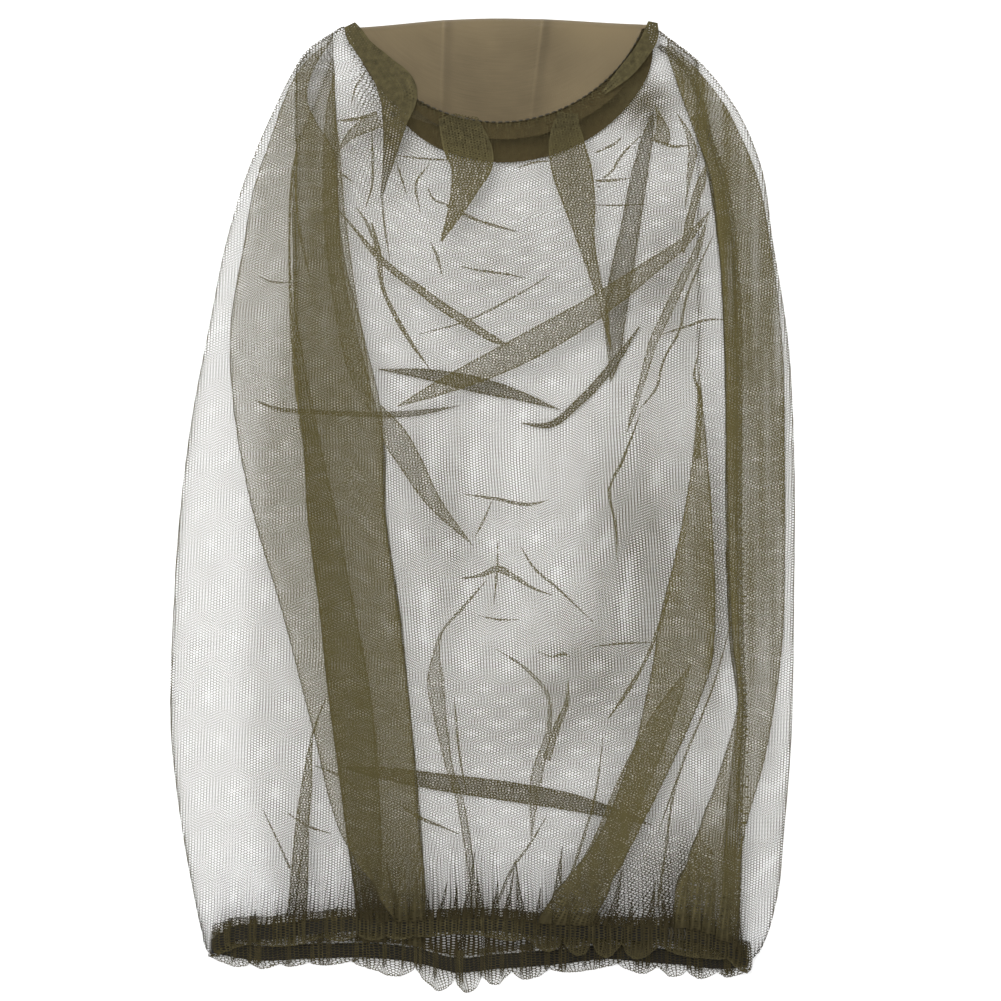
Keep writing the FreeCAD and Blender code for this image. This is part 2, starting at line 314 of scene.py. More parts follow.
def elastic_material(name):
    """Black braided elastic: ribs along the band and fine picks across it."""
    nodes = Nodes(name)
    place = nodes.cloth_place()
    pick = nodes.stripes(place, math.tau / PICK_PITCH)
    rib = nodes.stripes(place, 0.0, math.tau / RIB_PITCH)
    height = nodes.math("MULTIPLY_ADD", rib, 0.7, nodes.math("MULTIPLY", pick, 0.3))
    # Ribs lighter and grooves darker, following the bump height: painted light and shade.
    colour = nodes.blend(nodes.ramp(height, -1.0, 1.0), (0.002, 0.002, 0.002, 1.0),
                         (0.012, 0.011, 0.011, 1.0))
    return nodes.finish(height=height, distance=0.0003, Base_Color=colour, Roughness=0.7,
                        Specular_IOR_Level=0.2)


def thread_material(name, tint):
    """Twisted sewing thread: a lay of fine dark lines across it."""
    nodes = Nodes(name)
    twist = nodes.stripes(nodes.node("TexCoord", "Object"), *THREAD_LAY)
    # Darker in the grooves of the twist, following its bump: painted shade.
    colour = nodes.blend(nodes.ramp(twist, -1.0, 1.0), shade(tint, 0.6), shade(tint))
    return nodes.finish(height=twist, distance=0.00005, Base_Color=colour, Roughness=0.55,
                        Sheen_Weight=0.2, Sheen_Roughness=0.3)


NET = net_material("olive_tulle", strand=0.043)
GATHERED_NET = net_material("gathered_tulle", strand=0.06)
CROWN_CLOTH = cloth_material("crown_polyester", (0.146, 0.113, 0.063), thread=0.35, sheen=0.06)
SEAM_CLOTH = cloth_material("seam_allowance", (0.058, 0.041, 0.014), thread=0.5, sheen=0.03)
THREAD = thread_material("olive_thread", (0.03, 0.024, 0.01))
ELASTIC = elastic_material("braided_elastic")

# ---------------- the lie of the veil

# X of the veil's two sides down its length, as (y, x).
LEFT_SIDE = (
    (246, -73), (235, -89.5), (221, -99), (207, -106), (167, -123), (133, -133), (93, -141), (46, -150),
    (-10, -157), (-57, -160), (-122, -161), (-151, -158), (-189, -152), (-222, -145), (-233, -142),
    (-240, -135)
)
RIGHT_SIDE = (
    (246, 89), (228, 112), (207, 129), (177, 143), (135, 150), (83, 158), (28, 161), (-50, 161),
    (-133, 159), (-169, 156), (-206, 152), (-226, 146), (-237, 139), (-241, 134)
)
EDGE_HEIGHT = 3.0
BACK_HEIGHT = 0.5
SIDE_RISE, SIDE_FALL = 13, 3  # how far in the net has left the height of its edge
PILLOW = ((-250, 8), (-213, 9), (-120, 13), (0, 14), (120, 13), (200, 10), (250, 6))
CROWN_X, CROWN_RADIUS = 8.5, 80
FRONT_CROWN_Y, BACK_CROWN_Y = 276, 266
CORNER_Y = 246


def crown_edge(x, centre_y):
    """Y of the crown's seam under a place across the veil, level past its corners."""
    reach = np.clip(CROWN_RADIUS ** 2 - (x - CROWN_X) ** 2, 0, None)
    return np.minimum(centre_y - np.sqrt(reach), CORNER_Y)


def side_distance(x, y):
    inward = np.minimum(x - through(LEFT_SIDE, y), through(RIGHT_SIDE, y) - x)
    return np.clip(inward, 0, None)


def front_height(x, y):
    """Height of the upper netting: low at the sides, softly filled in the middle."""
    inside = 1 - np.exp(-side_distance(x, y) / SIDE_RISE)
    swell = 1.6 * waves(x, y, 95, 0.4) + 0.5 * waves(x, y, 31, 1.7)
    return EDGE_HEIGHT + (through(PILLOW, y) - EDGE_HEIGHT + swell) * inside


def back_height(x, y):
    """Height of the lower netting, which lies on the floor and rises to meet the sides."""
    side = np.exp(-side_distance(x, y) / SIDE_FALL)
    inside = 1 - np.exp(-side_distance(x, y) / SIDE_RISE)
    swell = 0.4 + 0.4 * waves(x, y, 60, 2.6)
    return BACK_HEIGHT + (EDGE_HEIGHT - BACK_HEIGHT) * side + swell * inside


# A pleat is a flat fold that runs down the veil: three layers between its two edges,
# given as (y, left edge, right edge, how bunched the net is there).
FRONT_PLEATS = (
    ((238, -79, -78, 0.3), (229, -90, -84, 0.3), (218, -98, -89, 0.2), (207, -103, -90, 0.2),
     (195, -107, -85, 0.15), (180, -112, -76, 0.1), (172, -115, -75, 0.1), (133, -123, -72, 0.05),
     (83, -130, -60, 0), (49, -128, -52, 0), (-4, -118, -50, 0), (-55, -103, -43, 0),
     (-117, -87, -36, 0), (-172, -72, -32, 0), (-213, -48, -28, 0.2), (-245, -48, -28, 0.2)),
    ((70, 111, 111, 0), (19, 107, 116, 0.15), (-30, 98, 119, 0.25), (-58, 91, 119.5, 0.22),
     (-84, 87, 117.5, 0.2), (-103, 83, 111, 0.2), (-121, 79, 103.5, 0.25), (-133, 75, 98, 0.4),
     (-174, 58, 78, 0.9), (-213, 30, 60, 0.9), (-245, 30, 60, 0.9)),
    ((236, 94, 97, 0.7), (222, 98, 112, 0.7), (207, 103, 124, 0.65), (190, 109, 133, 0.6),
     (171, 116, 141, 0.6), (133, 121, 149, 0.6), (79, 124, 155, 0.6), (20, 125, 156, 0.6),
     (-30, 126, 156, 0.5), (-70, 128, 155, 0.35), (-101, 131, 151, 0.3), (-133, 123, 145, 0.3),
     (-170, 110, 135, 0.25), (-213, 96, 133, 0.4), (-245, 96, 133, 0.4)),
)
BACK_PLEATS = (
    ((229, -78, -77, 0.1), (205, -87, -76, 0.1), (189, -94, -75, 0.1), (164, -98, -75, 0.1),
     (120, -98, -72, 0.1), (96, -98, -67, 0.1), (57, -97, -57, 0.1), (32, -93, -51, 0.1),
     (-4, -91, -50, 0.1), (-61, -84, -42, 0.1), (-91, -81, -39, 0.1), (-153, -73, -33, 0.1),
     (-213, -66, -29, 0.1), (-245, -66, -29, 0.1)),
    ((100, -97, -97, 0), (57, -96, -89, 0), (32, -93, -84, 0), (-4, -91, -76, 0), (-61, -84, -65, 0),
     (-91, -81, -59, 0), (-153, -73, -53, 0), (-213, -66, -52, 0), (-245, -66, -52, 0)),
    ((200, 108, 115, 0.5), (171, 116, 123, 0.5), (133, 122, 130, 1.0), (79, 125, 132, 0.7),
     (-30, 126, 132, 0.25), (-75, 128, 133, 0.25), (-108, 132, 135.5, 0.3), (-135, 128.5, 133.5, 0.3),
     (-213, 124, 131, 0.35), (-245, 124, 131, 0.35)),
)
# Where the net is slack and its strands crowd: (x, y, reach across, reach along, how much).
SLACK = (
    (80, -20, 25, 55, 0.3), (55, -90, 28, 30, 0.25), (10, -115, 40, 25, 0.12), (15, 120, 45, 30, 0.12),
    (-60, 190, 30, 40, 0.15), (95, 120, 20, 40, 0.2), (-20, -20, 20, 60, 0.15),
    (100, -190, 40, 25, 0.3), (152, -150, 10, 45, 0.1), (120, -50, 6, 60, 0.35), (84, 207, 15, 12, 0.7),
    (-5, -229, 45, 7, 1.2)
)
INNER_SLACK = 0.12
ROWS = 290
COLUMN_STEP = 1.5
EDGE_DARKENING, EDGE_REACH = 0.9, 0.8  # strands that crowd where the net doubles back
SETTLING_STEPS = 12  # rounds that find where an edge crosses the rows
PLEAT_OPENING = 4  # width at which a pleat's layers lie fully apart
FOLD_OVER = 6  # how soon a pleat's top layer rises from its fold
PLEAT_SETTLE = 25  # how far past a pleat the net is back on its own level

# A fold lies flat along a line: how bunched the net is in it, then (x, y, width) at each
# place, with no width where it runs out. Those under 2 mm wide show as dark lines.
FRONT_FOLDS = (
    (0.75, (-14, 200, 18), (-10, 188, 23), (-5.8, 175, 23), (-8.7, 163, 15), (-13.6, 150, 8.5),
     (-21, 134, 1)),
    (0.5, (44, 200, 10), (43, 190, 16), (43.5, 182, 19), (46, 170, 20.5), (49.5, 155, 17),
     (53, 135, 9.5), (58, 115, 5.5), (63, 95, 3.5), (66, 78)),
    (0.3, (117, 150), (104, 134, 5), (87, 121, 8), (68, 107, 11), (50, 95, 13), (38, 88, 14),
     (18, 77, 14), (-12, 63, 10), (-28, 56, 6), (-44, 49)),
    (0.1, (-76, 222), (-78, 200, 5), (-77.5, 185, 8), (-76, 150, 11), (-74, 129, 12), (-69, 96, 12),
     (-63, 66, 10), (-57, 46)),
    (0.2, (-75, 179.5), (-66.5, 189.4, 5), (-59, 194, 8), (-52.8, 197, 9)),
    (0.45, (-73, 149, 0.8), (-64, 138.5, 1.6), (-56.7, 129.5, 3), (-43.6, 117.3, 3.6),
     (-33, 109.7, 4.2), (-22.4, 101.6, 4.6), (-9.9, 93.5, 4.6), (0, 87, 4), (7, 83, 3.2), (14, 80)),
    (0.5, (-56.7, 143.4, 1), (-53.4, 127.6, 3.2), (-50.8, 109.2, 2), (-45.5, 97.4, 2.3),
     (-36.3, 81.6, 2), (-27, 68.5)),
    (0.4, (115, 174), (112.4, 164.4, 4.5), (108.5, 152.6, 4), (104.5, 135.5, 3.5), (103, 128, 1)),
    (0.2, (100, 200), (105.5, 190, 2.5), (108, 181, 4.5), (106.5, 170, 3), (105, 158, 1), (104, 150)),
    (0.15, (116, 148), (111, 131.6, 3), (104, 117, 4.2), (96, 100, 4.8), (88, 83, 4.5),
     (81.5, 60.6, 3.2), (76.3, 43.5, 2), (74, 36)),
    (0.2, (-52, 50), (-46, 36, 12), (-37, 21, 12), (-26, 2, 8), (-5, -22)),
    (0.3, (107, -83), (99, -98, 7), (92, -112, 12), (86, -125, 14), (77, -145, 16), (67, -170, 16),
     (50, -203, 16)),
    (0.4, (96, -45, 1), (90, -65, 1.6), (82, -84, 1.6), (73.5, -98, 2), (64.5, -111)),
    (0.1, (2, -40), (-10, -54, 1.6), (-21.5, -68, 1.6), (-23.5, -78, 4), (-24, -91, 8.5),
     (-22, -108, 7), (-19.7, -121, 5.5), (-17.5, -133, 4), (-11, -155, 4), (-7, -180, 4),
     (-4, -212, 4)),
    (0.1, (7, -75), (22, -85, 1.5), (34, -100, 2), (34, -116, 2.5), (28, -140, 6), (25, -173)),
    (0.35, (-87, -117, 0.8), (-88.5, -128, 2.5), (-89.7, -141, 5), (-92.8, -169, 7.5), (-94, -191, 9),
     (-95.5, -213, 10)),
    (0.3, (-80.5, -101), (-84, -110, 1.2), (-86.7, -119, 1)),
    (0.3, (-100, -159.5), (-89.5, -166.4, 1.2), (-78, -170)),
    (0.35, (-43, -154.5), (-32.5, -161.4, 1.8), (-21.5, -166, 1.2), (-12, -170)),
    (0.3, (89, 204), (91.5, 196, 4), (92.5, 189, 8), (91, 184, 9)),
    (0.3, (118.3, 136.8), (110.4, 119.7, 1), (103.9, 102.6, 1.3), (101.2, 88.9, 1.3), (92.7, 72.4, 1.2),
     (88.7, 58, 1.2), (80.2, 47.5)),
    (0.3, (81, 46), (72, 22, 1.5), (65, 6, 1.5), (68, -10, 1.3), (69, -30)),
    (0.3, (-27, 173.6), (-33.7, 164.4, 1.3), (-31.7, 148.6)),
    (0.35, (-18.5, 152.4, 1.2), (-11, 148.5, 1.6), (-2, 144.5, 1.4), (8, 141.5, 1.3), (18, 138.8)),
    (0.2, (18, 171.7), (26, 174.3, 1.1), (35, 175.3)),
    (0.3, (58, 179.3, 0.8), (64, 182, 1.2), (68, 184, 1.2), (71.5, 187.5)),
    (0.3, (-45, 178), (-27, 176.2, 1.1), (-15, 175.6)),
    (0.3, (-44.2, 175), (-41, 165, 1), (-38.9, 157.9)),
    (0.3, (-75.7, 171), (-70, 167, 1), (-66.5, 164.4)),
    (0.3, (-56.7, 192), (-56.3, 175, 1.2), (-56.7, 161.8, 1), (-60, 151.3)),
    (0.3, (-64.6, 151.3), (-60, 144.7, 1.4), (-56, 135.5, 1.5)),
    (0.3, (-51.5, 156.5, 0.8), (-50, 140, 1), (-47.5, 125)),
    (0.3, (-27, 134.2), (-23.2, 126.3, 1.5), (-20.5, 115.8)),
    (0.2, (-11, 121), (-2, 119, 1), (12, 117, 1), (22, 115)),
    (0.2, (34, 116), (14, 104, 1), (-8, 93, 1), (-33, 86)),
    (0.2, (-28.4, 161.8), (-24.5, 155.2, 1), (-17.9, 152.6)),
    (0.2, (58, 152.6), (70, 152.3, 0.9), (84, 153)),
    (0.3, (58, 165, 1), (66, 165.2, 1.4), (76, 166.3)),
    (0.3, (62, 166.5, 0.8), (66, 169.5, 1.3), (71, 177.5, 1.2), (81, 188)),
    (0.4, (86, 187), (92, 184.5, 1.4), (98.6, 182.8, 1.6), (106, 183.4)),
    (0.4, (-77, 195.9), (-66.5, 196.6, 1.6), (-56, 199.2, 1.4)),
    (0.3, (-60, 222.2), (-65.2, 213, 1.2), (-67.2, 205)),
    (0.3, (90.7, 85.6), (102.5, 89.5, 1.1), (115.7, 93.5, 1.2), (125, 93.7)),
    (0.4, (111, 77.7), (108.5, 64.6, 1.3), (111.7, 54, 2), (111, 40, 2.4), (110, 22, 3)),
    (0.3, (-115, 116), (-107, 113, 1.1), (-98, 113)),
    (0.5, (-94, 189), (-98, 164, 1.4), (-99, 140, 1), (-98.5, 110, 1.5), (-97, 80, 2), (-95, 55, 1.2),
     (-92, 30)),
    (0.3, (-95, 187), (-95.5, 154, 1.2), (-91.5, 128, 1.2), (-88, 114)),
    (0.25, (-10, 4.4), (6, 2, 1.6), (26, -0.8, 1.4), (34, 1.3)),
    (0.15, (5, 1), (0.5, -9.5, 1.2), (-4, -18)),
    (0.3, (-10.7, -39), (0, -37, 2), (7.4, -34, 3.4), (16, -38, 2.6), (27.4, -44.5, 1.2), (36, -47.5)),
    (0.2, (8, -20), (7.5, -34, 1.2), (6, -52)),
    (0.2, (-2, -58), (9, -60, 1), (19, -60)),
    (0.3, (28.5, -76.5), (37, -79, 1), (41, -77.5, 1.6), (45, -79)),
    (0.3, (44, -90), (43, -104, 2.5), (38.6, -114, 3.5), (33, -132, 4)),
    (0.25, (20, -23), (26, -33, 1.3), (37.5, -43, 1.2), (57, -61.5)),
    (0.25, (56, -74), (70, -72.3, 1.1), (86, -71.7)),
    (0.2, (33, -161), (24, -176, 1.2), (16, -187, 1.5), (7, -208, 1.4)),
    (0.2, (-113, -157), (-106, -172, 1), (-99, -188, 1.2)),
    (0.2, (-86, -135), (-72, -141, 1), (-62, -150)),
    (0.2, (107, -122), (98, -150, 1.2), (94, -180, 1.2), (90, -208, 1.4)),
    (0.2, (128, -60), (118, -95, 1), (104, -130, 1.2), (90, -170)),
    (0.2, (62, -120), (58, -150, 1.2), (46, -190, 1.4), (40, -208, 1.4)),
    (0.25, (-14.4, -100), (-13, -117, 1.1), (-11, -133, 1.1), (-8, -150)),
)
BACK_FOLDS = (
    (0.15, (88.5, 202), (87, 196, 3.3), (81.3, 170, 8.5), (76.6, 143.4, 9.9), (71.7, 117, 11.8),
     (68.4, 91, 10.5), (67.8, 71, 5), (66, 62)),
    (0.3, (-54, 69), (-27, 66, 6), (1, 60, 8), (20, 55, 5), (40, 48)),
    (0.4, (20, 41), (34, 40, 3), (50, 52, 4), (68, 72, 4), (82, 92)),
    (0.1, (-118, 53), (-108, 49, 1.5), (-88, 47, 2.2), (-60, 45.5, 2.6), (-37, 46, 3), (-12, 50)),
    (0.4, (-74, -137), (-53, -140, 6), (-20, -145, 9), (16, -150, 10), (45, -155, 9), (65, -160, 6),
     (88, -167)),
)
FOLD_SHARES = (-0.5, -0.42, -0.2, 0.2, 0.42, 0.5)
FOLD_EDGE = 0.9  # how crowded the net's strands are on a fold's two edges
FOLD_TURNS = (21, -9)  # degrees that the cloth of a fold's two layers is turned by
# Painted light on the folds and on the hem's gathers: how far each takes on the warmer colour of light
# through stacked layers.
FOLD_PAINTED_LIGHT, GATHER_PAINTED_LIGHT = 0.7, 0.3


def slackness(x, y):
    """How far the net's strands crowd together away from the folds."""
    total = INNER_SLACK * ease((side_distance(x, y) - 32) / 16)
    for middle_x, middle_y, across, along, amount in SLACK:
        total = total + amount * np.exp(-((x - middle_x) / across) ** 2
                                        - ((y - middle_y) / along) ** 2)
    return total


def pleat_value(pleat, part, y):
    return through([(knot[0], knot[part]) for knot in pleat], y)


def pleat_edges(pleat, y):
    """Left and right edge of a pleat at a height, with no width past its ends."""
    left, right = pleat_value(pleat, 1, y), pleat_value(pleat, 2, y)
    outside = (y > pleat[0][0]) | (y < pleat[-1][0])
    middle = (left + right) / 2
    return np.where(outside, middle, left), np.where(outside, middle, np.maximum(left, right))


def lay_cloth(pleats, top, bottom, height, tilt):
    """Grid of a pleated sheet: place, cloth coordinates, gathering and painted light of each point.

    Every row runs from the left side to the right one, and doubles back at each pleat.
    """
    share = np.linspace(0, 1, ROWS)

    def settle(edge, start):
        """Where an edge of the sheet or of a pleat crosses each row."""
        x = np.full(ROWS, float(start))
        for _ in range(SETTLING_STEPS):
            x = edge(top(x) + (bottom(x) - top(x)) * share)
        return x

    stops = [settle(lambda y: through(LEFT_SIDE, y), -110)]
    for pleat in pleats:
        middle = pleat[len(pleat) // 2][1]
        for side in (1, 0):
            stops.append(settle(lambda y: pleat_edges(pleat, y)[side], middle))
    stops.append(settle(lambda y: through(RIGHT_SIDE, y), 120))
    stops = np.array(stops)
    stops[1:-1] = np.clip(stops[1:-1], stops[0] + 1, stops[-1] - 1)

    columns, levels, edges = [], [], []
    for number, (start, end) in enumerate(zip(stops, stops[1:])):
        count = max(3, int(np.abs(end - start).max() / COLUMN_STEP))
        along = np.linspace(0, 1, count + 1)[1 if number else 0:]
        x = start[:, None] + (end - start)[:, None] * along
        lift = np.zeros_like(x)
        for which in range((number + 1) // 2):
            right, left = stops[2 * which + 1:2 * which + 3, :, None]
            width = np.clip((right - left) / PLEAT_OPENING, 0, 1)
            doubles_back = number == 2 * which + 1
            rise = along[None, :] if doubles_back else 1 + np.clip((x - left) / FOLD_OVER, 0, 1)
            lift += LAYER * width * rise * (1 - ease((x - right) / PLEAT_SETTLE))
        near = np.minimum(along, 1 - along)[None, :] * np.abs(end - start)[:, None]
        columns.append(x)
        levels.append(lift)
        edges.append(np.exp(-near / EDGE_REACH))
    x = np.hstack(columns)
    y = top(x) + (bottom(x) - top(x)) * share[:, None]
    gather = EDGE_DARKENING * np.hstack(edges) + slackness(x, y)
    light_and_shade = np.zeros_like(x)
    for which, pleat in enumerate(pleats):
        right, left = stops[2 * which + 1:2 * which + 3, :, None]
        inside = ease(np.minimum(right - x, x - left) / 2 + 0.5)
        streak = 0.6 + 0.6 * waves(x, y / 14, 6, 0.8 + which)
        gather += pleat_value(pleat, 3, y) * streak * inside
        # Inside a pleat the net gets painted light, the warmer colour of light through its stacked
        # layers.
        light_and_shade = np.maximum(light_and_shade, inside)
    z = height(x, y) + np.hstack(levels)
    across = np.cumsum(np.abs(np.diff(x, axis=1, prepend=x[:, :1])), axis=1)
    anchor = np.argmin(np.abs(x[ROWS // 2] - CROWN_X))
    across = across - across[:, anchor:anchor + 1]
    for outer in (slice(columns[0].shape[1]), slice(-columns[-1].shape[1], None)):
        across[:, outer] = x[:, outer]
    return x, y, z, turned(across, y, tilt), gather, light_and_shade


# The elastic's middle line, as (x, y), in the front and in the back of the hem.
FRONT_ELASTIC = (
    (-140, -229), (-130, -223), (-108, -221), (-88, -218.5), (-66, -217), (-50, -218), (9, -217),
    (28, -219), (76, -221.5), (114, -224), (127, -230), (138, -236)
)
BACK_ELASTIC = (
    (-140, -229), (-119, -233), (-88, -232.2), (-56, -232), (-40, -233.5), (-26, -236.5), (-17, -239),
    (9, -237.5), (41, -235), (66, -232.5), (83, -234), (104, -235.5), (123, -237.5), (138, -236)
)
CASING_ABOVE = 8.0
RING_MIDDLE, RING_HALF = -1.8, 137.6  # x of the hem's middle, and its half width
# Gathers that run up from the hem: (x, width, height, how far they lean).
FRONT_GATHERS = (
    (-130, 3, 6, 1), (-118, 4, 8, 1), (-107, 3, 8, 2), (-99, 5, 40, 7), (-92, 3, 12, -1),
    (-76, 2, 9, 2), (-64, 4, 20, -2), (-58, 4, 26, -6), (-52, 6, 34, -8), (-44, 5, 30, -5),
    (-36, 5, 22, 3), (-29, 6, 26, -2), (-22, 4, 20, 4), (-14, 4, 18, 1), (-8, 5, 34, 4),
    (-1, 5, 26, -2), (6, 4, 20, 2), (12, 3, 30, 5), (20, 5, 32, -3), (28, 4, 18, 2), (37, 8, 40, 4),
    (46, 6, 34, 5), (57, 5, 20, 3), (66, 6, 30, 6), (76, 4, 14, 1), (86, 5, 24, 3), (94, 4, 22, -2),
    (101, 6, 34, 6), (108, 5, 26, 5), (116, 7, 30, 4), (124, 6, 26, 4), (131, 5, 34, 1)
)
BACK_GATHERS = (
    (-120, 3, 9, 2), (-84, 4, 14, 3), (-60, 4, 16, -3), (-33, 6, 24, 2), (-12, 5, 20, 4),
    (3, 4, 16, -2), (24, 5, 18, 2), (41, 5, 24, 3), (61, 6, 18, -3), (80, 4, 16, 3), (111, 6, 20, 2),
    (128, 5, 22, 0)
)
HEM_GATHER = ((-145, 9), (-100, 11), (-60, 20), (0, 20), (25, 13), (60, 17), (135, 20), (145, 9))
LOWEST = 0.3  # no point of the net lies nearer to the floor


def ripple(points, gather, distance, along, reach, depth, pitch, crowd, seed):
    """Small overlapping gathers beside a seam, fading with the distance from it."""
    strength = np.exp(-np.clip(distance, 0, None) / reach)
    phase = along * math.tau / pitch + 1.6 * np.sin(along / 17 + seed) + seed
    phase += 0.9 * np.sin(along / 6.1 + 2 * seed)
    points[..., 0] += depth * strength * np.sin(phase)
    points[..., 2] += 0.6 * depth * strength * (1 + np.cos(phase))
    gather += crowd * strength ** 1.5 * (0.55 + 0.45 * np.cos(phase))


def flat_fold(line, bunched, height, light_and_shade):
    """The two upper layers of a flat fold: points, cloth places, gathers and painted light."""
    knots = np.array([(*knot, 0)[:3] for knot in line], float)
    chord = np.append(0, np.cumsum(np.hypot(*np.diff(knots[:, :2], axis=0).T)))
    widths = list(zip(chord / chord[-1], np.clip(knots[:, 2], 0.3, None)))
    layers = []
    for lift, turn in zip((LAYER, 2 * LAYER), FOLD_TURNS):
        grid, place = ribbon(knots[:, :2], widths, lambda x, y: height(x, y) + lift,
                             across=FOLD_SHARES)
        cloth = turned(grid[..., 0], grid[..., 1], turn)
        cloth[..., 0] += 0.7 * lift
        from_edge = np.abs(place[:, :1, 0]) - np.abs(place[..., 0])
        crowded = bunched + FOLD_EDGE * np.exp(-from_edge / 0.5)
        layers.append((grid, cloth, crowded, np.full(crowded.shape, light_and_shade)))
    return layers


def make_net(name, node, pleats, folds, gathers, crown_y, elastic, overlap, height, tilt, seed):
    """One half of the tube, with its folds and its gathers laid on it."""
    def top(x):
        return crown_edge(x, crown_y)

    def bottom(x):
        past_elastic = 13 * ease((np.abs(x - RING_MIDDLE) - RING_HALF + 5) / 6)
        return through(elastic, x) + CASING_ABOVE - overlap - past_elastic

    x, y, z, cloth, gather, light_and_shade = lay_cloth(pleats, top, bottom, height, tilt)
    points = np.stack((x, y, z), -1)
    above, below = y - bottom(x), top(x) - y
    ripple(points, gather, above, x, reach=through(HEM_GATHER, x), depth=1.9, pitch=8.5,
           crowd=0.9, seed=seed)
    from_middle = np.abs(x - CROWN_X)
    past_corner = np.clip(from_middle - 78, 0, None)
    ripple(points, gather, below + 0.4 * past_corner, x, reach=8.0,
           depth=0.6 * ease((80 - from_middle) / 30), pitch=5.0, crowd=0.7, seed=seed + 1)
    layers = [(points, cloth, gather, light_and_shade)]
    for bunched, *line in folds:
        layers += flat_fold(line, bunched, height, FOLD_PAINTED_LIGHT)
    for start, width, tall, lean in gathers:
        low = float(bottom(np.array(start)))
        line = ((start, low - 3, 0.8 * width), (start, low + 1, width),
                (start + 0.4 * lean, low + 0.4 * tall, 0.55 * width),
                (start + lean, low + tall))
        layers += flat_fold(line, 0.35, height, GATHER_PAINTED_LIGHT)
    points, faces, places = join_grids([layer[:2] for layer in layers])
    points[:, 2] = np.clip(points[:, 2], LOWEST, None)
    gather, light_and_shade = (np.concatenate([layer[part].ravel() for layer in layers])
                    for part in (2, 3))
    x, y = points[:, 0], points[:, 1]
    # Painted light of the pleats and folds fades out below the crown; painted shade deepens towards the
    # hem and, a little, just below the crown's seam.
    light_and_shade *= ease((top(x) - y) / 35)
    light_and_shade -= 1.8 * np.exp(-(y - bottom(x)) / 28) + 0.25 * np.exp(-(top(x) - y) / 18)
    piece = make_piece(name, NET, points, faces, places, gather, light_and_shade)
    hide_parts(node)


make_net("netting_front", "net_front", FRONT_PLEATS, FRONT_FOLDS, FRONT_GATHERS, FRONT_CROWN_Y,
         FRONT_ELASTIC, overlap=5, height=front_height, tilt=4, seed=0.3)
make_net("netting_back", "net_back", BACK_PLEATS, BACK_FOLDS, BACK_GATHERS, BACK_CROWN_Y,
         BACK_ELASTIC, overlap=3, height=back_height, tilt=0.5, seed=1.9)

# ---------------- the crown

CROWN_FOLD = ((-71, 245), (-61, 245.5), (-20, 249), (5, 250), (31, 249.5), (85, 247), (90, 247))
CROWN_FOLD_HEIGHT, CROWN_FOLD_RADIUS = 4.2, 2.6
FRONT_HALF, BACK_HALF = 75.5, 77.0  # half the crown's width at its front and back seams
PACK_CREASES = ((-20, 249, -21, 206), (31, 249, 25, 198))  # x and y of both their ends
CROWN_COLUMNS, LEAF_ROWS, FOLD_ROWS = 260, 60, 9
SEAM_TUCK = 0.8  # how far the crown reaches under the net


def past_crease(x, y, crease):
    """How far to the right of a pack crease a place lies."""
    top_x, top_y, low_x, low_y = crease
    return x - (top_x + (low_x - top_x) * (top_y - y) / (top_y - low_y))


def crown_leaf_height(x, y):
    """The front leaf of the crown: over the gathered net, with the creases of its packing."""
    depth = np.clip(through(CROWN_FOLD, x) - y, 0, None)
    corner = ease((84 - np.abs(x - CROWN_X)) / 30)
    height = CROWN_FOLD_HEIGHT + CROWN_FOLD_RADIUS + 5.0 * ease(depth / 45) * corner
    height = height + (1.3 * waves(x, y, 52, 0.9) + 0.4 * waves(x, y, 21, 2.1)) * ease(depth / 12)
    for crease in PACK_CREASES:
        away = np.abs(past_crease(x, y, crease))
        ridge = 0.35 * np.exp(-(away / 0.75) ** 2) + 2.2 * np.exp(-away / 9)
        height = height + ridge * ease(depth / 5)
    sewn = np.exp(-np.clip(y - crown_edge(x, FRONT_CROWN_Y), 0, None) / 6)
    return height + (front_height(x, y) + 0.8 - height) * sewn


def crown_back_height(x, y):
    return 1.4 + 0.3 * waves(x, y, 40, 1.4)


